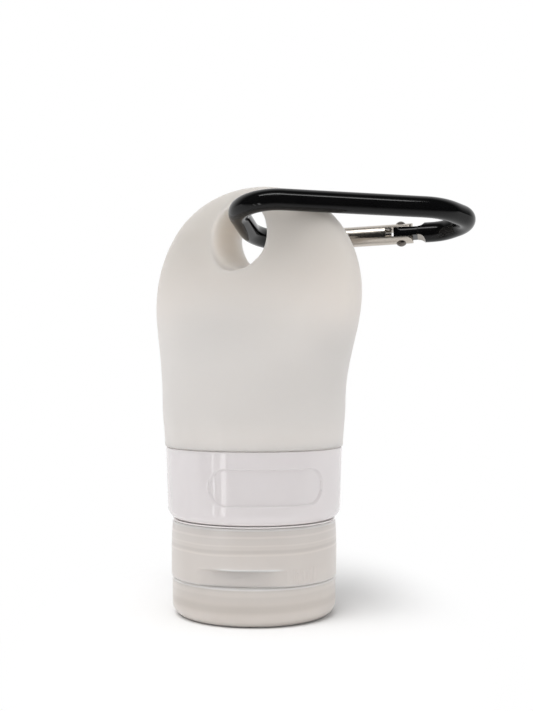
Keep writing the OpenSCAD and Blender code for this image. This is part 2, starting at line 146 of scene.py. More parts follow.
def dusted(wire, point, base, look):
    dust = specks(wire, point, look["dustScale"], look["dustSize"], look["dustShare"])
    return mixColour(wire, dust * look["dustTone"], base, look["dust"])


def bump(wire, height, strength, distance):
    return wire.node("ShaderNodeBump", {}, {"Height": height, "Strength": strength, "Distance": distance})


def newFinish(name, fixed):
    # a Principled material, with what is the same all over set on its own sockets
    material = bpy.data.materials.new(name)
    material.use_nodes = True
    tree = material.node_tree
    shader = tree.nodes["Principled BSDF"]
    for socket, value in fixed.items():
        shader.inputs[socket].default_value = value
    wire = Wire(tree)
    point = wire.node("ShaderNodeTexCoord", out="Object")
    return material, wire, point, shader


def plug(wire, shader, **links):
    names = {"colour": "Base Color", "roughness": "Roughness", "normal": "Normal"}
    for key, value in links.items():
        wire.tree.links.new(value.socket, shader.inputs[names[key]])


def axes(wire, point):
    split = wire.node("ShaderNodeSeparateXYZ", {}, {0: point})
    return split, split.also(1), split.also(2)


siliconeLook = {
    "light": tint(234, 227, 222), "deep": tint(227, 219, 213), "cloudScale": 38.0,
    # solid: painted shade, a deeper tone on the flattened end
    "paintedSolidShade": tint(205, 200, 194), "paintedShadeFrom": 56 * mm, "paintedShadeTo": 88 * mm, "paintedShadeDrift": 6 * mm,
    # mouth: painted light, a lighter tone on the wall of the hanging hole
    "mouth": tint(240, 233, 225), "mouthAt": 82.2 * mm, "mouthR": 7.5 * mm, "mouthEdge": 0.5 * mm,
    "dust": tint(120, 112, 102), "dustScale": 170.0, "dustSize": 0.045, "dustShare": 0.62, "dustTone": 0.5,
    "scatter": 0.9, "reach": 8 * mm, "roughness": 0.40, "roughSpread": 0.12,
    "fineScale": 5200.0, "fineDepth": 0.03 * mm,
}


def milkySiliconeFinish():
    look = siliconeLook
    material, wire, point, shader = newFinish("milkySilicone", {
        "Subsurface Weight": look["scatter"], "Subsurface Radius": (1.0, 1.0, 1.0),
        "Subsurface Scale": look["reach"], "IOR": 1.41, "Specular IOR Level": 0.35,
    })
    cloud = noise(wire, point, look["cloudScale"], 3.0)
    base = mixColour(wire, cloud * 0.6 + 0.2, look["deep"], look["light"])
    # painted shade: the flattened end is painted a little deeper in tone, where less light comes through the
    # solid silicone
    x, _, z = axes(wire, point)
    paintedSolidShade = smoothBand(wire, z + cloud * look["paintedShadeDrift"], look["paintedShadeFrom"], look["paintedShadeTo"])
    base = mixColour(wire, paintedSolidShade, base, look["paintedSolidShade"])
    # painted light: the wall of the hanging hole is painted lighter, as if light gathers there
    fromHole = wire.node("ShaderNodeCombineXYZ", {}, {0: x, 1: z - look["mouthAt"]})
    apart = wire.node("ShaderNodeVectorMath", {"operation": "LENGTH"}, {0: fromHole}, out="Value")
    wall = smoothBand(wire, apart, look["mouthR"] + look["mouthEdge"], look["mouthR"] - look["mouthEdge"])
    base = mixColour(wire, wall, base, look["mouth"])
    base = dusted(wire, point, base, look)
    fine = noise(wire, point, look["fineScale"])
    plug(wire, shader, colour=base, roughness=cloud * look["roughSpread"] + look["roughness"],
         normal=bump(wire, fine, 0.12, look["fineDepth"]))
    return material


frostedLook = {
    "scatter": 0.8, "reach": 6 * mm, "cloudScale": 90.0,
    "lead": 3 * mm, "slope": 0.35, "driftScale": 55.0, "drift": 0.8 * mm, "lower": 0.4 * mm,
    # rim: painted light along edges; ledge: a painted highlight
    "rim": tint(237, 231, 227), "ledge": tint(255, 252, 248),
    "dust": tint(140, 130, 120), "dustScale": 260.0, "dustSize": 0.05, "dustShare": 0.6, "dustTone": 0.45,
    "roughness": 0.26, "roughSpread": 0.16, "fineScale": 2600.0, "fineDepth": 0.04 * mm,
}


def frostedFinish(name, light, deep, rings, paintedRimLights, ledge=None):
    # rings: heights in mm of bands painted lighter or darker for what shows through the wall, painted light
    # and shade; rims and ledge: painted light along edges, and a painted highlight on the scoop's ledge
    look = frostedLook
    material, wire, point, shader = newFinish(name, {
        "Subsurface Weight": look["scatter"], "Subsurface Radius": (1.0, 0.99, 0.97),
        "Subsurface Scale": look["reach"], "IOR": 1.49, "Specular IOR Level": 0.45,
    })
    x, y, z = axes(wire, point)
    cloud = noise(wire, point, look["cloudScale"], 3.0)
    shade = cloud * 0.5 + 0.25
    climb = wire.maths("ARCTAN2", y, x) * (look["lead"] / (2 * math.pi))
    drift = noise(wire, point, look["driftScale"]) * look["drift"]
    # painted light and shade: lighter or darker bands where inner parts show through the wall
    for height, thick, strength in rings:
        off = z - climb * look["slope"] + drift - (height * mm + look["lower"])
        line = smoothBand(wire, wire.maths("ABSOLUTE", off), thick * mm, thick * mm * 0.2)
        shade = shade + line * strength
    base = mixColour(wire, shade, deep, light)
    # painted light: a lighter band painted along each rim
    for height, thick, strength in paintedRimLights:
        edge = smoothBand(wire, wire.maths("ABSOLUTE", z - height * mm), thick * mm, thick * mm * 0.3)
        base = mixColour(wire, edge * strength, base, look["rim"])
    if ledge:
        # painted highlight: a bright line painted along the scoop's ledge, on the side it faces
        a = math.radians(ledge["turn"])
        facing = (x * math.cos(a) + y * math.sin(a)) / ledge["r"]
        line = smoothBand(wire, wire.maths("ABSOLUTE", z - ledge["height"] * mm), ledge["thick"] * mm, 0.0)
        bright = smoothBand(wire, facing, ledge["from"], ledge["to"]) * line
        base = mixColour(wire, bright, base, look["ledge"])
    base = dusted(wire, point, base, look)
    fine = noise(wire, point, look["fineScale"], 3.0)
    plug(wire, shader, colour=base, roughness=cloud * look["roughSpread"] + look["roughness"],
         normal=bump(wire, fine, 0.10, look["fineDepth"]))
    return material


collarLook = {
    "light": tint(222, 217, 218), "deep": tint(216, 211, 211), "cloudScale": 60.0,
    "blush": tint(218, 206, 206), "blushScale": 26.0, "blushFrom": 0.52, "blushTo": 0.75, "blushTone": 0.5,
    "dust": tint(150, 142, 135), "dustScale": 230.0, "dustSize": 0.04, "dustShare": 0.62, "dustTone": 0.4,
    # edge: painted light, a lighter band on the collar's lower edge
    "edge": tint(244, 238, 237), "footPaintedLightFrom": 21.8 * mm, "footPaintedLightTo": 21.0 * mm,
    "scatter": 0.35, "reach": 2 * mm, "roughness": 0.03, "roughSpread": 0.04,
    "waveScale": 130.0, "waveDepth": 0.06 * mm,
}


def collarFinish():
    look = collarLook
    material, wire, point, shader = newFinish("glossWhite", {
        "Subsurface Weight": look["scatter"], "Subsurface Radius": (1.0, 0.95, 0.95),
        "Subsurface Scale": look["reach"], "IOR": 1.5, "Specular IOR Level": 0.5,
    })
    cloud = noise(wire, point, look["cloudScale"])
    blush = smoothBand(wire, noise(wire, point, look["blushScale"]), look["blushFrom"], look["blushTo"])
    base = mixColour(wire, cloud, look["deep"], look["light"])
    base = mixColour(wire, blush * look["blushTone"], base, look["blush"])
    base = dusted(wire, point, base, look)
    # painted light: its lower edge is painted lighter, as if it gathers light
    _, _, z = axes(wire, point)
    base = mixColour(wire, smoothBand(wire, z, look["footPaintedLightFrom"], look["footPaintedLightTo"]), base, look["edge"])
    wave = noise(wire, point, look["waveScale"], 1.0)
    plug(wire, shader, colour=base, roughness=cloud * look["roughSpread"] + look["roughness"],
         normal=bump(wire, wave, 0.04, look["waveDepth"]))
    return material


blackLook = {
    "light": tint(12, 12, 12), "deep": tint(6, 6, 7), "cloudScale": 220.0, "scratchScale": 900.0,
    "scuff": tint(70, 70, 74), "scuffScale": 330.0, "scuffSize": 0.16, "scuffShare": 0.66, "scuffTone": 0.35,
    "roughness": 0.08, "roughScratch": 0.05, "roughScuff": 0.12, "waveDepth": 0.05 * mm,
}


def blackFinish():
    look = blackLook
    material, wire, point, shader = newFinish("blackCoat", {"IOR": 1.5, "Specular IOR Level": 0.24})
    cloud = noise(wire, point, look["cloudScale"], 3.0)
    scratch = smoothBand(wire, noise(wire, point, look["scratchScale"], 4.0), 0.5, 0.8)
    scuff = specks(wire, point, look["scuffScale"], look["scuffSize"], look["scuffShare"])
    base = mixColour(wire, cloud, look["deep"], look["light"])
    base = mixColour(wire, scuff * look["scuffTone"], base, look["scuff"])
    rough = scratch * look["roughScratch"] + look["roughness"] + scuff * look["roughScuff"]
    plug(wire, shader, colour=base, roughness=rough, normal=bump(wire, cloud, 0.05, look["waveDepth"]))
    return material


metalLook = {"stainScale": 300.0, "stretch": 30, "roughSpread": 0.12, "lineDepth": 0.02 * mm}


def metalFinish(name, light, deep, rough, grain, along):
    # fine drawing lines run along the piece's own axis
    look = metalLook
    material, wire, point, shader = newFinish(name, {"Metallic": 1.0})
    turned = Vector((1, 0, 0)).rotation_difference(Vector(along).normalized()).inverted().to_euler()
    drawn = wire.node("ShaderNodeMapping", {"vector_type": "POINT"},
                      {"Vector": point, "Rotation": turned, "Scale": (grain / look["stretch"], grain, grain)})
    lines = wire.node("ShaderNodeTexNoise", {}, {"Vector": drawn, "Scale": 1.0, "Detail": 4.0})
    stain = noise(wire, point, look["stainScale"], 3.0)
    base = mixColour(wire, stain, deep, light)
    plug(wire, shader, colour=base, roughness=lines * look["roughSpread"] + rough,
         normal=bump(wire, lines, 0.10, look["lineDepth"]))
    return material


# heights in mm, thickness and strength of each band: bands painted lighter or darker for what shows through
# the walls, painted light along rims
threadPaintedBands = ((18.9, 0.35, 0.35), (17.2, 0.25, 0.25), (16.0, 0.55, -0.35), (15.3, 0.3, 0.30))
# painted light along the cap's rim and foot
capPaintedRimLights = ((20.4, 0.5, 0.9), (8.6, 0.35, 0.5))
# painted highlight along the scoop's ledge
scoopLedgeHighlight = {"turn": -56, "r": 18 * mm, "from": 0.90, "to": 0.97, "height": 12.0, "thick": 0.42}
# painted light along the lid's top edge and its foot on the floor
lidPaintedRimLights = ((8.2, 0.45, 1.0), (0.0, 0.6, 0.8))
lidPaintedBands = ((7.3, 0.8, 0.30), (4.2, 1.3, -0.40), (0.9, 0.7, -0.25))
gateRun = (-0.880533, -0.471499, -0.048478)
finishes = {
    "milkySilicone": milkySiliconeFinish(),
    "cap": frostedFinish("frostedCap", tint(234, 224, 217), tint(207, 197, 190),
                         threadPaintedBands, capPaintedRimLights, scoopLedgeHighlight),
    "lid": frostedFinish("frostedLid", tint(226, 216, 208), tint(202, 192, 184), lidPaintedBands, lidPaintedRimLights),
    "natural": frostedFinish("naturalPlastic", tint(216, 209, 205), tint(205, 198, 194), (), ()),
    "collar": collarFinish(),
    "black": blackFinish(),
    "milled": metalFinish("milledMetal", tint(176, 170, 162), tint(140, 134, 126), 0.34, 3000, gateRun),
    "gate": metalFinish("satinGate", tint(198, 191, 182), tint(178, 170, 160), 0.16, 2400, gateRun),
    "rivet": metalFinish("rivetMetal", tint(128, 122, 116), tint(92, 88, 84), 0.22, 3000, gateRun),
    "steel": metalFinish("brightSteel", tint(206, 202, 196), tint(172, 166, 158), 0.20, 3000, gateRun),
}
nodeFinish = {
    "flip_lid": "lid", "cap_base": "cap", "valve": "milkySilicone", "valve_retainer": "natural",
    "neck_seal": "milkySilicone", "threaded_neck": "natural", "collar": "collar",
    "silicone_body": "milkySilicone", "carabiner_body": "black", "hinge_rivet": "rivet",
    "gate": "gate", "latch_pin": "steel", "spring_pusher": "steel", "gate_spring": "steel",
}
for node, finish in nodeFinish.items():
    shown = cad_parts[node]
    if not shown.material_slots:
        shown.data.materials.append(None)
    for place in shown.material_slots:
        place.material = finishes[finish]
print("finishes made:", len(finishes))


def meshOf(name, points, faces, finish):
    # an object from points in millimetres
    mesh = bpy.data.meshes.new(name)
    mesh.from_pydata([tuple(float(c) * mm for c in p) for p in points], [], faces)
    mesh.validate()
    mesh.materials.append(finishes[finish])
    made = bpy.data.objects.new(name, mesh)
    bpy.context.collection.objects.link(made)
    turnOutward(made)
    return made


def turnOutward(made):
    shape = bmesh.new()
    shape.from_mesh(made.data)
    bmesh.ops.recalc_face_normals(shape, faces=shape.faces)
    shape.to_mesh(made.data)
    shape.free()


def smooth(made, crease=None):
    # smooth shading, with edges sharper than the crease angle kept crisp
    made.data.polygons.foreach_set("use_smooth", [True] * len(made.data.polygons))
    if crease:
        made.data.set_sharp_from_angle(angle=math.radians(crease))


def belongs(made, body, replaced=None):
    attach(made, body)
    if replaced:
        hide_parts(replaced)


def rowsToFaces(rows, ring=False, ends=None):
    # quads over rows of points that each close on themselves: a ring of rows, or two end points
    count = len(rows[0])
    points = [p for row in rows for p in row]
    faces = []
    for k in range(len(rows) if ring else len(rows) - 1):
        low, high = k * count, ((k + 1) % len(rows)) * count
        for i in range(count):
            j = (i + 1) % count
            faces.append((low + i, low + j, high + j, high + i))
    if ends:
        first, second = len(points), len(points) + 1
        points += ends
        top = (len(rows) - 1) * count
        for i in range(count):
            j = (i + 1) % count
            faces.append((first, j, i))
            faces.append((second, top + i, top + j))
    return points, faces


def joined(*shapes):
    # several closed shapes as one list of points and faces
    points, faces = [], []
    for shapePoints, shapeFaces in shapes:
        start = len(points)
        points += list(shapePoints)
        faces += [tuple(start + i for i in face) for face in shapeFaces]
    return points, faces


def rounded(outline, closed=True):
    # the outline's corners (x, y, radius) rounded by arcs, with a support point beside each arc
    count = len(outline)
    arcSteps, supportShare = 6, 0.35
    points = []
    for i, (x, y, radius) in enumerate(outline):
        if radius <= 0 or (not closed and i in (0, count - 1)):
            points.append((x, y))
            continue
        here = Vector((x, y))
        back = (Vector(outline[i - 1][:2]) - here).normalized()
        on = (Vector(outline[(i + 1) % count][:2]) - here).normalized()
        half = back.angle(on) / 2
        run = radius / math.tan(half)
        middle = here + (back + on).normalized() * (radius / math.sin(half))
        start, end = here + back * run - middle, here + on * run - middle
        sweep = start.angle_signed(end)
        support = radius * supportShare
        points.append(tuple(middle + start + back * support))
        for k in range(arcSteps + 1):
            turned = Matrix.Rotation(-sweep * k / arcSteps, 2) @ start
            points.append(tuple(middle + turned))
        points.append(tuple(middle + end + on * support))
    return points


def lathe(profile, turns):
    return [[(r * math.cos(t), r * math.sin(t), z) for t in turns] for r, z in profile]


def finerWall(outline, height, steps):
    # the one wall that rises more than half the height is divided into even steps
    profile = []
    for k, (r, z) in enumerate(outline):
        nextR, nextZ = outline[(k + 1) % len(outline)]
        parts = steps if nextZ - z > height / 2 else 1
        profile += [(blendOf(r, nextR, i / parts), blendOf(z, nextZ, i / parts)) for i in range(parts)]
    return profile


def evenTurns(steps):
    return [2 * math.pi * i / steps for i in range(steps)]


def ease(t):
    t = min(1, max(0, t))
    return (1 - math.cos(math.pi * t)) / 2


def dome(t):
    t = min(1, max(0, t))
    return math.sqrt(1 - t * t)


def blendOf(a, b, t):
    return a + (b - a) * t


def angleBetween(t, degrees):
    # signed angle from a direction in degrees to t, in radians
    return (t - math.radians(degrees) + math.pi) % (2 * math.pi) - math.pi


def applyAll(made):
    bpy.context.view_layer.objects.active = made
    for modifier in list(made.modifiers):
        bpy.ops.object.modifier_apply(modifier=modifier.name)


def cut(made, tool):
    modifier = made.modifiers.new("cut", "BOOLEAN")
    modifier.operation = "DIFFERENCE"
    modifier.solver = "EXACT"
    modifier.object = tool
    applyAll(made)
    bpy.data.objects.remove(tool)


silicone = {
    "foot": 36.3, "height": 56.7, "rootD": 38.9, "waistD": 40.0, "waistH": 9.7, "tabW": 53.8,
    "widestH": 34.7, "tabT": 11.6, "thinH": 46.7, "square": 2.3, "wall": 2.0,
    "holeZ": 82.2, "holeR": 7.2, "holeRound": 1.2, "webH": 35.3, "hollowRound": 11, "swellH": 6,
    "sleeveFoot": 23.4, "sleeveR": 17.2, "sleeveInR": 15.4, "voxel": 0.42, "around": 160, "aroundIn": 96,
    "skinReach": 0.35, "holeClear": 1.0, "holeFade": 1.2, "footClear": 0.7, "footFade": 0.8,
    "topClear": 1.2, "topFade": 1.5,
}


def halfWidth(h):
    s = silicone
    if h < s["waistH"]:
        return blendOf(s["rootD"], s["waistD"], ease(h / s["waistH"])) / 2
    if h < s["widestH"]:
        return blendOf(s["waistD"], s["tabW"], ease((h - s["waistH"]) / (s["widestH"] - s["waistH"]))) / 2
    return s["tabW"] / 2 * dome((h - s["widestH"]) / (s["height"] - s["widestH"]))


def halfDepth(h):
    s = silicone
    if h < s["waistH"]:
        return halfWidth(h)
    if h < s["thinH"]:
        return blendOf(s["waistD"], s["tabT"], ease((h - s["waistH"]) / (s["thinH"] - s["waistH"]))) / 2
    return s["tabT"] / 2 * dome((h - s["thinH"]) / (s["height"] - s["thinH"]))


def squareness(h):
    s = silicone
    return blendOf(2, s["square"], ease((h - s["waistH"]) / (s["thinH"] - s["waistH"])))


def section(a, b, n, z, count):
    row = []
    for t in evenTurns(count):
        c, s = math.cos(t), math.sin(t)
        row.append((a * math.copysign(abs(c) ** (2 / n), c), b * math.copysign(abs(s) ** (2 / n), s), z))
    return row


def siliconeSkin():
    s = silicone
    heights = [s["widestH"] * i / 60 for i in range(61)]
    heights += [s["widestH"] + (s["height"] - s["widestH"]) * math.sin(math.pi / 2 * i / 40)
                for i in range(1, 40)]
    around = s["around"]
    rows = [section(s["sleeveR"], s["sleeveR"], 2, z, around) for z in (s["sleeveFoot"], s["foot"] - 0.02)]
    rows += [section(halfWidth(h), halfDepth(h), squareness(h), s["foot"] + h, around) for h in heights]
    return rowsToFaces(rows, ends=[(0, 0, s["sleeveFoot"]), (0, 0, s["foot"] + s["height"])])


def siliconeHollow():
    s = silicone
    roundH = s["webH"] - s["hollowRound"]

    def inset(half, h):
        inside = blendOf(s["sleeveInR"], half - s["wall"], ease(h / s["swellH"]))
        return inside * dome((h - roundH) / (s["webH"] - roundH))
    heights = [roundH * i / 24 for i in range(25)]
    heights += [roundH + (s["webH"] - roundH) * math.sin(math.pi / 2 * i / 12) for i in range(1, 12)]
    around, start = s["aroundIn"], s["sleeveFoot"] - 2
    rows = [section(s["sleeveInR"], s["sleeveInR"], 2, start, around)]
    rows += [section(inset(halfWidth(h), h), inset(halfDepth(h), h), 2, s["foot"] + h, around)
             for h in heights]
    return rowsToFaces(rows, ends=[(0, 0, start), (0, 0, s["foot"] + s["webH"])])


def hangingHole():
    s = silicone
    reach = 20
    roundY = s["tabT"] / 2 - s["holeRound"]
    mouth = [(s["holeR"] + s["holeRound"] * (1 - math.cos(a)), roundY + s["holeRound"] * math.sin(a))
             for a in (math.radians(13 * i) for i in range(6))]
    half = mouth + [(mouth[-1][0], reach)]
    profile = [(r, -y) for r, y in reversed(half)] + half
    rows = [[(r * math.cos(t), y, s["holeZ"] + r * math.sin(t)) for t in evenTurns(s["aroundIn"])]
            for r, y in profile]
    return rowsToFaces(rows, ends=[(0, -reach, s["holeZ"]), (0, reach, s["holeZ"])])


def settleOnOutline(made):
    # after the remesh, every point of the skin away from the hole goes back on the outline
    s = silicone
    count = len(made.data.vertices)
    place = np.zeros(count * 3, np.float32)
    made.data.vertices.foreach_get("co", place)
    place = place.reshape(-1, 3) / mm
    fromFoot = place[:, 2] - s["foot"]
    heights = np.linspace(0, s["height"], 1200)
    wide, deep, power = [np.interp(fromFoot, heights, [form(h) for h in heights])
                         for form in (halfWidth, halfDepth, squareness)]
    wide, deep = np.maximum(wide, 0.5), np.maximum(deep, 0.5)
    reach = ((np.abs(place[:, 0]) / wide) ** power + (np.abs(place[:, 1]) / deep) ** power) ** (1 / power)
    outer = np.abs(reach - 1) * deep < s["skinReach"]
    fromHole = np.hypot(place[:, 0], place[:, 2] - s["holeZ"]) - s["holeR"]
    weight = np.clip((fromHole - s["holeClear"]) / s["holeFade"], 0, 1)
    weight *= np.clip((fromFoot - s["footClear"]) / s["footFade"], 0, 1)
    weight *= np.clip((s["foot"] + s["height"] - s["topClear"] - place[:, 2]) / s["topFade"], 0, 1) * outer
    scale = 1 + weight * (1 / np.maximum(reach, 0.1) - 1)
    place[:, 0] *= scale
    place[:, 1] *= scale
    made.data.vertices.foreach_set("co", (place * mm).astype(np.float32).ravel())
    made.data.update()


bottle = meshOf("siliconeBottle", *siliconeSkin(), "milkySilicone")
for shape in (siliconeHollow(), hangingHole()):
    cut(bottle, meshOf("tool", *shape, "milkySilicone"))
remesh = bottle.modifiers.new("even", "REMESH")
remesh.mode = "VOXEL"
remesh.voxel_size = silicone["voxel"] * mm
soften = bottle.modifiers.new("soften", "SMOOTH")
soften.factor = 0.5
soften.iterations = 6
applyAll(bottle)
settleOnOutline(bottle)
smooth(bottle)
belongs(bottle, "bottle", "silicone_body")
print("silicone bottle:", len(bottle.data.polygons), "faces")


collar = {
    "foot": 20.9, "height": 15.4, "lowR": 18.75, "topR": 19.25, "innerR": 17.25, "lip": 1.4,
    "lipR": 14.95, "edgeR": 2.4, "rimR": 0.35, "turn": -43, "halfTurn": 39, "labelH": 7.5,
    "depth": 0.35, "labelMid": 0.52, "softness": 0.1, "wallRows": 66, "around": 448,
    # this lip closes most of the gap to the cap's rim
    "skirtLip": 0.3, "skirtLipR": (15.7, 17.6),
}


def collarShape():
    c = collar
    foot, top = c["foot"], c["foot"] + c["height"]
    outline = rounded([
        (c["lowR"], foot, c["edgeR"]), (c["topR"], top, c["rimR"]), (c["innerR"], top, 0.2),
        (c["innerR"], foot + c["lip"], 0), (c["lipR"], foot + c["lip"], 0.2), (c["lipR"], foot, 0.2),
        (c["skirtLipR"][0], foot, 0), (c["skirtLipR"][0] + 0.1, foot - c["skirtLip"], 0.1),
        (c["skirtLipR"][1], foot - c["skirtLip"], 0.12), (c["skirtLipR"][1] + 0.1, foot, 0),
    ])
    # the outer wall is fine enough for the recess
    profile = finerWall(outline, c["height"], c["wallRows"])
    midZ = foot + c["labelMid"] * c["height"]
    midR = blendOf(c["lowR"], c["topR"], c["labelMid"])
    halfL = midR * math.radians(c["halfTurn"])
    endR = c["labelH"] / 2
    turns = evenTurns(c["around"])
    rows = lathe(profile, turns)
    for row, (r, z) in zip(rows, profile):
        if r < c["innerR"] + 0.8 or abs(z - midZ) > endR + 1:
            continue
        for i, t in enumerate(turns):
            off = abs(angleBetween(t, c["turn"])) * midR
            d = math.hypot(max(off - (halfL - endR), 0), z - midZ) - endR
            sunk = r - c["depth"] * ease((c["softness"] - d) / (2 * c["softness"]))
            row[i] = (sunk * math.cos(t), sunk * math.sin(t), z)
    return rowsToFaces(rows, ring=True)


collarShell = meshOf("collarShell", *collarShape(), "collar")
smooth(collarShell, 50)
belongs(collarShell, "bottle", "collar")
print("collar made")


cap = {
    "r": 18.0, "foot": 8.5, "height": 12.0, "wall": 1.4, "draw": 0.25, "deck": 1.4,
    "housingR": 11.0, "housingFoot": 3.6, "housingWall": 1.2, "mouthR": 5.0,
    "scoopTurn": -62, "scoopHalf": 32, "scoopDepth": 0.75, "scoopH": 3.4, "ledge": 0.55,
    "ribPitch": 0.9, "ribDepth": 0.09, "ribZ": (8.95, 12.3), "ribTurn": (-30, -3),
    "ribFadeTurn": 5, "ribFadeZ": (0.35, 0.5), "ribEdge": 1.5,
    "lugW": 9, "lugH": 1.6, "lugRound": 0.4, "lugRings": ((0.35, 0), (0.15, 0.15)),
    "hingeTurn": 118, "hingeR": 18.45, "hingeZ": 8.4,
    # the wall's rows, and its turns in degrees: start, step and count, finer at scoop and ribs
    "wallRows": 84, "around": ((-100, 0.36, 300), (8, 1.26, 200)),
}


def scoopedRadius(t):
    # the scoop is what lies outside a flatter cylinder
    c = cap
    halfAngle = math.radians(c["scoopHalf"])
    edge = c["r"] * math.sin(halfAngle)
    sink = c["r"] * (1 - math.cos(halfAngle)) - c["scoopDepth"]
    flatR = (sink * sink + edge * edge) / (2 * sink)
    middle = c["r"] - c["scoopDepth"] - flatR
    off = angleBetween(t, c["scoopTurn"])
    if abs(off) > halfAngle:
        return c["r"]
    return min(c["r"], middle * math.cos(off) + math.sqrt(flatR ** 2 - (middle * math.sin(off)) ** 2))


def ribLift(t, z):
    # small grip ribs beside the scoop, which fade out at both ends of their row
    c = cap
    low, high = c["ribTurn"]
    off = math.degrees(angleBetween(t, (low + high) / 2))
    fadeTurn = ease(((high - low) / 2 - abs(off)) / c["ribFadeTurn"])
    foot, top = c["ribZ"]
    fadeZ = ease((z - foot) / c["ribFadeZ"][0]) * ease((top - z) / c["ribFadeZ"][1])
    wave = 0.5 + 0.5 * math.cos(2 * math.pi * math.radians(off) * c["r"] / c["ribPitch"])
    return -c["ribDepth"] * (1 - wave ** c["ribEdge"]) * fadeTurn * fadeZ


def capShape():
    c = cap
    rim, deckTop = c["foot"] + c["height"], c["foot"] + c["deck"]
    innerR, housingIn = c["r"] - c["wall"], c["housingR"] - c["housingWall"]
    outline = rounded([
        (c["r"], c["foot"], 0.25), (c["r"], rim, 0.3), (innerR, rim, 0.25), (innerR, deckTop, 0.4),
        (housingIn, deckTop, 0.15), (housingIn, c["housingFoot"] + c["housingWall"], 0.2),
        (c["mouthR"], c["housingFoot"] + c["housingWall"], 0.2), (c["mouthR"], c["housingFoot"], 0.3),
        (c["housingR"], c["housingFoot"], 0.4), (c["housingR"], c["foot"], 0.3),
    ])
    profile = finerWall(outline, c["height"], c["wallRows"])
    turns = [math.radians(start + step * i) for start, step, count in c["around"] for i in range(count)]
    rows = []
    ledgeZ = c["foot"] + c["scoopH"]
    for r, z in profile:
        if r < innerR + 0.3:
            rows.append(lathe([(r, z)], turns)[0])
            continue
        rise = (z - c["foot"]) / c["height"]
        drawn = c["draw"] * max(0, (rise - 0.5) / 0.5) ** 2
        under = ease((ledgeZ + c["ledge"] / 2 - z) / c["ledge"])
        row = []
        for t in turns:
            share = (r - innerR) / c["wall"]
            move = (scoopedRadius(t) - c["r"]) * under + ribLift(t, z) - drawn
            wide = r + move * share
            row.append((wide * math.cos(t), wide * math.sin(t), z))
        rows.append(row)
    return rowsToFaces(rows, ring=True)


def lugShape(wallR, low, high):
    # a lug beside the hinge line, with rounded corners seen from outside
    c = cap
    radius = c["lugRound"]
    outline = rounded([(-c["lugW"] / 2, low, radius), (c["lugW"] / 2, low, radius),
                       (c["lugW"] / 2, high, radius), (-c["lugW"] / 2, high, radius)])
    a = math.radians(c["hingeTurn"])
    out, side = (math.cos(a), math.sin(a)), (-math.sin(a), math.cos(a))
    middle = (low + high) / 2
    rings = [(wallR - 1, 0)] + [(c["hingeR"] - back, inset) for back, inset in c["lugRings"]]
    rows = []
    for reach, inset in rings:
        shrink = 1 - inset / (c["lugW"] / 2)
        rows.append([(out[0] * reach + side[0] * y * shrink, out[1] * reach + side[1] * y * shrink,
                      middle + (z - middle) * (1 - inset / (c["lugH"] / 2))) for y, z in outline])
    ends = [(out[0] * reach, out[1] * reach, middle) for reach in (rings[0][0], rings[-1][0])]
    return rowsToFaces(rows, ends=ends)


capLug = lugShape(cap["r"], cap["foot"], cap["foot"] + cap["lugH"])
capShell = meshOf("capShell", *joined(capShape(), capLug), "cap")
smooth(capShell, 50)
belongs(capShell, "cap", "cap_base")

lid = {"r": 17.8, "height": 8.3, "wall": 1.3, "top": 1.4, "edgeR": 2.8, "innerEdge": 1.5,
       "ribR": (11.3, 12.4), "ribH": 4.15, "plugR": 3.0, "plugH": 4.5, "lipR": 17.5, "lipH": 0.14}


def lidShape():
    c = lid
    inner = c["r"] - c["wall"]
    profile = rounded([
        (0.01, 0, 0), (c["r"], 0, c["edgeR"]), (c["r"], c["height"], 0.28),
        (c["lipR"], c["height"], 0), (c["lipR"] - 0.05, c["height"] + c["lipH"], 0.05),
        (inner + 0.05, c["height"] + c["lipH"], 0.05), (inner, c["height"], 0),
        (inner, c["top"], c["innerEdge"]), (c["ribR"][1], c["top"], 0.25), (c["ribR"][1], c["ribH"], 0.25),
        (c["ribR"][0], c["ribH"], 0.25), (c["ribR"][0], c["top"], 0.25), (c["plugR"], c["top"], 0.3),
        (c["plugR"], c["plugH"], 0.35), (0.01, c["plugH"], 0),
    ], closed=False)
    return rowsToFaces(lathe(profile, evenTurns(256)), ends=[(0, 0, 0), (0, 0, c["plugH"])])


lidLug = lugShape(lid["r"], lid["height"] - cap["lugH"], lid["height"])
lidShell = meshOf("lidShell", *joined(lidShape(), lidLug), "lid")
smooth(lidShell, 50)
belongs(lidShell, "lid", "flip_lid")

# the living hinge is a thin film from lug to lug
film = {"width": 7.4, "thick": 0.22, "low": 7.2, "high": 9.6, "rows": 14, "inset": 0.02,
        "thin": 0.35, "thinH": 0.35}


def filmShape():
    c = film
    a = math.radians(cap["hingeTurn"])
    out, side = Vector((math.cos(a), math.sin(a), 0)), Vector((-math.sin(a), math.cos(a), 0))
    rows = []
    for k in range(c["rows"] + 1):
        z = blendOf(c["low"], c["high"], k / c["rows"])
        nearLine = math.exp(-((z - cap["hingeZ"]) / c["thinH"]) ** 2)
        thick = c["thick"] * (1 - c["thin"] * nearLine)
        middle = cap["hingeR"] - c["inset"]
        half = c["width"] / 2
        row = []
        for y, r in rounded([(-half, middle - thick / 2, 0.05), (half, middle - thick / 2, 0.05),
                             (half, middle + thick / 2, 0.05), (-half, middle + thick / 2, 0.05)]):
            row.append(tuple(out * r + side * y + Vector((0, 0, z))))
        rows.append(row)
    ends = [tuple(out * cap["hingeR"] + Vector((0, 0, z))) for z in (c["low"], c["high"])]
    return rowsToFaces(rows, ends=ends)


hingeFilm = meshOf("hingeFilm", *filmShape(), "cap")
smooth(hingeFilm, 50)
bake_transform(hingeFilm)
print("cap, lid and hinge made")


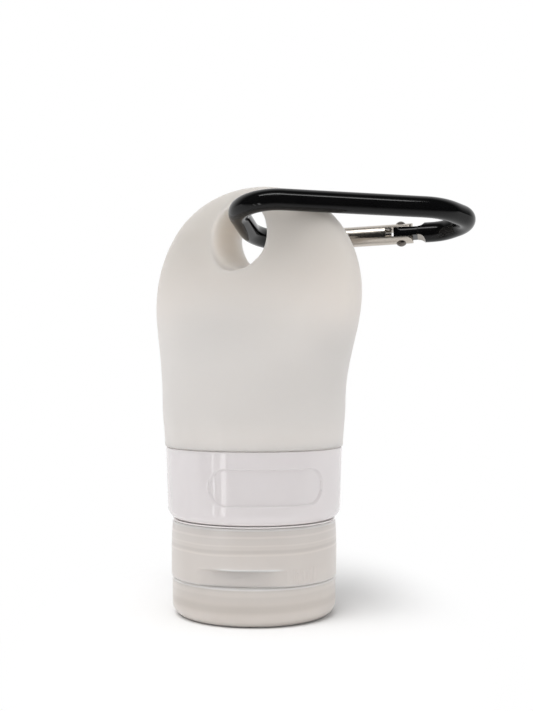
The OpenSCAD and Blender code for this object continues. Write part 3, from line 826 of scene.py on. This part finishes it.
thread = {"lead": 3.0, "neckR": 14.9, "neckTop": 0.75, "capR": 16.6, "capTop": -0.75, "foot": 12.0,
          "turns": 2.0, "half": 0.75, "steps": 96, "fade": 14, "sunk": 0.15, "shoulder": (0.8, 0.45),
          "phase": 0.4}


def threadShape(baseR, rise, phase):
    # a ridge that climbs one lead a turn and fades in and out at its ends
    c = thread
    rows = []
    part, up = c["shoulder"][0], c["half"] * c["shoulder"][1]
    count = int(c["steps"] * c["turns"])
    for k in range(count + 1):
        t = 2 * math.pi * k / c["steps"] + phase
        z = c["foot"] + c["lead"] * k / c["steps"]
        grow = ease(k / c["fade"]) * ease((count - k) / c["fade"])
        inward = -math.copysign(c["sunk"], rise)
        row = []
        for out, off in ((inward, -c["half"]), (rise * part * grow, -up), (rise * grow, 0),
                         (rise * part * grow, up), (inward, c["half"])):
            row.append(((baseR + out) * math.cos(t), (baseR + out) * math.sin(t), z + off))
        rows.append(row)
    centre = [tuple(np.mean(rows[k], axis=0)) for k in (0, -1)]
    return rowsToFaces(rows, ends=centre)


neckThread = meshOf("neckThread", *threadShape(thread["neckR"], thread["neckTop"], thread["phase"]),
                    "natural")
smooth(neckThread, 60)
belongs(neckThread, "bottle")
capThread = meshOf("capThread", *threadShape(thread["capR"], thread["capTop"], thread["phase"] + math.pi),
                   "cap")
smooth(capThread, 60)
belongs(capThread, "cap")
print("threads made")


# the clip: corners of its outline and their bends, in the plane of its rod
clip = {
    "corners": ((0, 0), (11.4, 28.6), (50.9, 14.4), (55.2, 6.4), (45.7, 0)),
    "bends": (8, 10.5, 6.2, 5.5, 12), "rodR": 2.25, "sides": 56,
    "origin": (6.95, -18.03, 88.22), "turns": (-12.2, 1.4, 47.5),
    "rivetRun": 32.7, "noseRun": 10.8, "tangRun": 38.1,
    "tangT": 1.95, "tangR": 2.1, "shoulderR": 1.6, "camX": 1.65, "tongueT": 1.5, "tongueHalf": 1.7,
    "tongueTip": 1.5, "tongueRoot": 0.2, "tongueEdge": (0.4, 0.5), "noseEdge": 0.35,
    "latchR": 0.6, "latchPlay": 0.15, "latchBack": 1.9, "latchRoom": 1.8,
    "gateGap": 0.3, "slotGap": 0.09, "slotX": 3.5, "tailR": 2.7, "rivetBore": 0.79,
    "gateEdge": 0.25, "edge": 0.09,
}
clipPlace = Matrix.Translation(Vector(clip["origin"])) @ Euler(
    [math.radians(a) for a in clip["turns"]], "XYZ").to_matrix().to_4x4()
cornerAt = [Vector(c) for c in clip["corners"]]
gateDirection = (cornerAt[2] - cornerAt[1]).normalized()
rivetAt = cornerAt[1] + gateDirection * clip["rivetRun"]
gatePlace = clipPlace @ Matrix.Translation(rivetAt.to_3d()) @ Matrix.Rotation(
    math.atan2(-gateDirection[1], -gateDirection[0]), 4, "Z")
noseX = clip["rivetRun"] - clip["noseRun"]
tangX = clip["rivetRun"] - clip["tangRun"]
tipX = noseX - clip["gateGap"]
latchX = noseX - clip["latchBack"]


def placed(shape, place):
    points, faces = shape
    return [tuple(place @ Vector(p)) for p in points], faces


def rodPath():
    # from the nose round the wide end, along the spine and round the narrow end to the tang
    c = clip
    path = [cornerAt[1] + gateDirection * c["noseRun"]]
    for i in (1, 0, 4, 3, 2):
        here, come, go = cornerAt[i], cornerAt[(i + 1) % 5], cornerAt[i - 1]
        back, on = (come - here).normalized(), (go - here).normalized()
        half = back.angle(on) / 2
        middle = here + (back + on).normalized() * (c["bends"][i] / math.sin(half))
        start = here + back * (c["bends"][i] / math.tan(half)) - middle
        sweep = start.angle_signed(here + on * (c["bends"][i] / math.tan(half)) - middle)
        steps = max(6, int(abs(math.degrees(sweep)) / 4))
        path += [middle + Matrix.Rotation(-sweep * k / steps, 2) @ start for k in range(steps + 1)]
    path.append(cornerAt[1] + gateDirection * c["tangRun"])
    return path


def rodShape():
    c = clip
    path = rodPath()
    # the nose's end is rounded off, so the first rings are smaller
    edge = c["noseEdge"]
    first, along = path[0], (path[1] - path[0]).normalized()
    rings = [(first + along * edge * (1 - math.sin(a)), c["rodR"] - edge * (1 - math.cos(a)))
             for a in (math.pi / 2 * k / 5 for k in range(5, -1, -1))]
    rings += [(p, c["rodR"]) for p in path[1:]]
    rows = []
    for k, (p, r) in enumerate(rings):
        before = rings[max(0, k - 1)][0]
        after = rings[min(len(rings) - 1, k + 1)][0]
        run = (after - before).normalized() if (after - before).length > 1e-6 else along
        across = Vector((-run[1], run[0]))
        rows.append([(p[0] + across[0] * r * math.cos(t), p[1] + across[1] * r * math.cos(t), r * math.sin(t))
                     for t in evenTurns(c["sides"])])
    return rowsToFaces(rows, ends=[(*rings[0][0], 0), (*rings[-1][0], 0)])


def flattedSection(x, r, halfT, halfY):
    # one ring of the tang: a round section with two flats, and no wider than its own outline
    halfT = min(halfT, r * 0.996)
    corner = math.asin(halfT / r)
    right = [(r * math.cos(a), r * math.sin(a)) for a in (corner * (k / 10 - 1) for k in range(21))]
    flat = r * math.cos(corner)
    ring = right + [(flat * (1 - k / 8 * 2), halfT) for k in range(1, 8)]
    ring += [(-y, -z) for y, z in right] + [(-flat * (1 - k / 8 * 2), -halfT) for k in range(1, 8)]
    return [(x, max(-halfY, min(halfY, y)), z) for y, z in ring]


def tangShape():
    c = clip
    half = c["tangT"] / 2
    rows = []
    for k in range(19):
        x = tangX + c["shoulderR"] * k / 18
        fromEnd = tangX + c["shoulderR"] - x
        depth = half + c["shoulderR"] - math.sqrt(c["shoulderR"] ** 2 - fromEnd ** 2)
        rows.append(flattedSection(x, c["rodR"], depth, c["rodR"]))
    for x in [tangX + c["shoulderR"] + 0.15, 0] + [c["camX"] * k / 10 for k in range(1, 11)]:
        halfY = math.sqrt(c["tangR"] ** 2 - max(x, 0) ** 2)
        rows.append(flattedSection(x, c["tangR"], half, halfY))
    return rowsToFaces(rows, ends=[(tangX, 0, 0), (c["camX"], 0, 0)])


def tongueShape():
    # the hooked tongue, with its notch open towards the inside of the clip
    c = clip
    notchR = c["latchR"] + c["latchPlay"]
    start, end = latchX - c["tongueTip"], noseX + c["tongueRoot"]
    along, across = c["tongueEdge"]
    notch = [(latchX + notchR * math.cos(a), notchR * math.sin(a))
             for a in (math.radians(180 + 18 * k) for k in range(11))]
    outline = [(end, -c["tongueHalf"]), (end, c["tongueHalf"]), (latchX + notchR, c["tongueHalf"])]
    outline += list(reversed(notch)) + [(latchX - notchR, c["tongueHalf"])]
    outline += [(start + along, c["tongueHalf"]), (start, c["tongueHalf"] - across),
                (start, -c["tongueHalf"] + across), (start + along, -c["tongueHalf"])]
    count = len(outline)
    points = [(x, y, z) for z in (-c["tongueT"] / 2, c["tongueT"] / 2) for x, y in outline]
    faces = [tuple(range(count)), tuple(range(2 * count - 1, count - 1, -1))]
    faces += [(i, (i + 1) % count, (i + 1) % count + count, i + count) for i in range(count)]
    return points, faces


clipShape = joined(placed(rodShape(), clipPlace), placed(tangShape(), gatePlace),
                   placed(tongueShape(), gatePlace))
clipRod = meshOf("clipRod", *clipShape, "black")
clipRod.data.materials.append(finishes["milled"])
intoGate = gatePlace.inverted() @ Matrix.Scale(1 / mm, 4)
for polygon in clipRod.data.polygons:
    # the milled shoulder of the tang shows bare metal on its round side
    spot = intoGate @ polygon.center
    onShoulder = tangX + 0.05 < spot.x < tangX + clip["shoulderR"] + 0.3 and abs(spot.z) < clip["rodR"]
    facing = (gatePlace.to_3x3().inverted() @ polygon.normal).z
    polygon.material_index = 1 if onShoulder and abs(facing) > 0.3 and math.hypot(spot.y, spot.z) < 2.2 else 0
smooth(clipRod, 34)
belongs(clipRod, "clip", "carabiner_body")
print("clip's rod:", len(clipRod.data.polygons), "faces")


def gateSolid():
    # a round bar whose tail is cut round about the rivet
    c = clip
    edge = c["gateEdge"]
    stops = [(-c["tailR"] + 0.02, c["rodR"])]
    stops += [(-c["tailR"] * math.cos(math.pi / 2 * k / 10), c["rodR"]) for k in range(1, 11)]
    stops += [(tipX - edge + edge * math.sin(a), c["rodR"] - edge * (1 - math.cos(a)))
              for a in (math.pi / 2 * k / 4 for k in range(5))]
    rows = []
    for x, r in stops:
        halfY = math.sqrt(max(c["tailR"] ** 2 - min(x, 0) ** 2, 0.01))
        rows.append([(x, max(-halfY, min(halfY, r * math.cos(t))), r * math.sin(t)) for t in evenTurns(72)])
    return rowsToFaces(rows, ends=[(stops[0][0], 0, 0), (stops[-1][0], 0, 0)])


def block(low, high):
    points = [(x, y, z) for z in (low[2], high[2]) for y in (low[1], high[1]) for x in (low[0], high[0])]
    return points, [(0, 1, 3, 2), (4, 6, 7, 5), (0, 4, 5, 1), (2, 3, 7, 6), (0, 2, 6, 4), (1, 5, 7, 3)]


def barAlong(axis, r, low, high, sides=32):
    # a round bar along X or Z, for a bore
    rows = []
    for end in (low, high):
        if axis == "x":
            rows.append([(end, r * math.cos(t), r * math.sin(t)) for t in evenTurns(sides)])
        else:
            rows.append([(r * math.cos(t), r * math.sin(t), end) for t in evenTurns(sides)])
    ends = [(low, 0, 0), (high, 0, 0)] if axis == "x" else [(0, 0, low), (0, 0, high)]
    return rowsToFaces(rows, ends=ends)


spring = {"d": 2.3, "wire": 0.35, "coils": 9, "room": 0.45, "headL": 1.3, "seat": 0.05, "boreL": 8.0,
          "play": 0.12}
springStart = clip["camX"] + spring["room"] + spring["headL"] + spring["seat"]
springL = clip["slotX"] + spring["boreL"] - springStart - spring["seat"]


def gateTools():
    c = clip
    slotHalf = c["tangT"] / 2 + c["slotGap"]
    tongueHalf = c["tongueT"] / 2 + c["slotGap"]
    far = 4
    return [
        block((-far, -far, -slotHalf), (c["slotX"], far, slotHalf)),
        block((latchX - c["latchRoom"], -far, -tongueHalf), (tipX + 1, far, tongueHalf)),
        barAlong("x", spring["d"] / 2 + spring["play"], c["slotX"] - 0.5, c["slotX"] + spring["boreL"]),
        barAlong("z", c["rivetBore"], -far, far),
    ]


gateTube = meshOf("gateTube", *placed(gateSolid(), gatePlace), "gate")
for shape in gateTools():
    cut(gateTube, meshOf("tool", *placed(shape, gatePlace), "gate"))
edges = gateTube.modifiers.new("edges", "BEVEL")
edges.width = clip["edge"] * mm
edges.segments = 2
edges.limit_method = "ANGLE"
edges.angle_limit = math.radians(50)
applyAll(gateTube)
smooth(gateTube, 34)
belongs(gateTube, "gate", "gate")


def springShape():
    s = spring
    radius = (s["d"] - s["wire"]) / 2
    perCoil, sides = 20, 10
    rows = []
    for k in range(perCoil * s["coils"] + 1):
        a = 2 * math.pi * k / perCoil
        x = springStart + s["wire"] / 2 + (springL - s["wire"]) * k / (perCoil * s["coils"])
        ring = []
        for t in evenTurns(sides):
            out = radius + s["wire"] / 2 * math.cos(t)
            ring.append((x + s["wire"] / 2 * math.sin(t), out * math.cos(a), out * math.sin(a)))
        rows.append(ring)
    return rowsToFaces(rows, ends=[tuple(np.mean(rows[k], axis=0)) for k in (0, -1)])


springCoil = meshOf("springCoil", *placed(springShape(), gatePlace), "steel")
smooth(springCoil)
belongs(springCoil, "gate", "gate_spring")
print("gate and spring made")


stage = {
    "floor": (0.62, 0.62, 0.62, 1), "floorSeen": (0.635, 0.635, 0.635, 1),
    "fadeFrom": 0.058, "fadeTo": 0.114, "narrow": 2.3,
    "ambient": 0.93, "dimFront": 0.02, "frontFrom": 0.03, "frontTo": 0.12,
    "skyTilt": 0.1, "skyFrom": 0.0, "skyTo": 0.6,
}
# turn from the camera's own direction, rise, distance, size, power, and what it lights
lamps = {
    "key": (-8, 48, 0.75, (0.3, 0.3), 0.22, "all"),
    "overhead": (-6, 60, 0.5, (0.6, 0.10), 0.14, "all"),
    "rodStrip": (-4, 52, 0.5, (0.6, 0.07), 1.1, "rod"),
    "gateSky": (-6, 66, 0.4, (0.5, 0.17), 1.0, "metal"),
    "floorKey": (-34, 57, 0.75, (0.55, 0.55), 5.5, "floor"),
    "windowWide": (-35.5, -18.6, 0.094, (0.0095, 0.034), 0.0031, "gloss"),
    "windowThin": (-48, -18.6, 0.092, (0.003, 0.034), 0.0012, "gloss"),
}


def floorFinish():
    material = bpy.data.materials.new("paleFloor")
    material.use_nodes = True
    tree = material.node_tree
    tree.nodes.clear()
    wire = Wire(tree)
    point = wire.node("ShaderNodeTexCoord", out="Object")
    x, y, _ = axes(wire, point)
    towards = view["towards"]
    beside = (x * -towards[1] + y * towards[0]) * stage["narrow"]
    ahead = (x * towards[0] + y * towards[1]) * -1
    spot = wire.node("ShaderNodeCombineXYZ", {}, {0: beside, 1: ahead})
    far = wire.node("ShaderNodeVectorMath", {"operation": "LENGTH"}, {0: spot}, out="Value")
    # 1 for rays that look: from the camera, off gloss or through glass
    rays = wire.node("ShaderNodeLightPath", out="Is Camera Ray")
    glossy, through = rays.also("Is Glossy Ray"), rays.also("Is Transmission Ray")
    looked = wire.maths("MAXIMUM", wire.maths("MAXIMUM", rays, glossy), through)
    fade = smoothBand(wire, far, stage["fadeFrom"], stage["fadeTo"])
    paint = mixColour(wire, looked, stage["floor"], stage["floorSeen"])
    diffuse = wire.node("ShaderNodeBsdfDiffuse", {}, {"Color": paint})
    # gloss sees a dim table in front, where the room is dim too
    front = smoothBand(wire, ahead, stage["frontFrom"], stage["frontTo"]) * glossy
    white = wire.node("ShaderNodeEmission", {}, {
        "Color": (1, 1, 1, 1), "Strength": 1 - front * (1 - stage["dimFront"])})
    both = wire.node("ShaderNodeMixShader", {}, {
        0: wire.maths("MAXIMUM", fade * looked, front), 1: diffuse, 2: white})
    wire.node("ShaderNodeOutputMaterial", {}, {"Surface": both})
    return material


bpy.ops.mesh.primitive_plane_add(size=6, location=(0, 0, 0))
floor = bpy.context.active_object
floor.name = "paleFloor"
floor.data.materials.append(floorFinish())


linked = {
    "floor": [floor],
    "rod": [clipRod],
    "metal": [gateTube, springCoil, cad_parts["hinge_rivet"]],
}


def addLamp(name, turn, rise, distance, size, power, lights):
    data = bpy.data.lights.new(name, "AREA")
    data.shape = "RECTANGLE"
    data.size, data.size_y = size
    data.energy = power
    lamp = bpy.data.objects.new(name, data)
    bpy.context.collection.objects.link(lamp)
    a, e = math.radians(view["azimuth"] + turn), math.radians(rise)
    target = Vector((0, 0, 0.05))
    aim = Vector((math.cos(a) * math.cos(e), math.sin(a) * math.cos(e), math.sin(e)))
    lamp.location = target + aim * distance
    lamp.rotation_euler = (target - lamp.location).to_track_quat("-Z", "Y").to_euler()
    lamp.visible_camera = False
    lamp.visible_diffuse = lights != "gloss"
    if lights in linked:
        # a lamp for the floor softens its shadow with no more light on the bottle
        receivers = bpy.data.collections.new(name + "Receivers")
        for receiver in linked[lights]:
            receivers.objects.link(receiver)
        lamp.light_linking.receiver_collection = receivers
        lamp.visible_glossy = lights != "floor"


for name, settings in lamps.items():
    addLamp(name, *settings)


def worldFinish():
    # white behind the bottle for whatever looks there, and a dim room in front for gloss
    world = bpy.data.worlds.new("paleWorld")
    bpy.context.scene.world = world
    world.use_nodes = True
    tree = world.node_tree
    tree.nodes.clear()
    wire = Wire(tree)
    skyX, skyY, skyZ = axes(wire, wire.node("ShaderNodeTexCoord", out="Generated"))
    towards = view["towards"]
    onward = skyX * towards[0] + skyY * towards[1] + skyZ * stage["skyTilt"]
    behind = smoothBand(wire, onward, stage["skyFrom"], stage["skyTo"])
    rays = wire.node("ShaderNodeLightPath", out="Is Camera Ray")
    glossy, through = rays.also("Is Glossy Ray"), rays.also("Is Transmission Ray")
    room = behind * (1 - stage["dimFront"]) + stage["dimFront"]
    level = glossy * (room - stage["ambient"]) + stage["ambient"]
    looked = wire.maths("MAXIMUM", rays, through)
    strength = looked * (1 - level) + level
    background = wire.node("ShaderNodeBackground", {}, {"Color": (1, 1, 1, 1), "Strength": strength})
    wire.node("ShaderNodeOutputWorld", {}, {"Surface": background})


worldFinish()
bpy.context.scene.view_settings.view_transform = "Standard"
print("stage and light set")
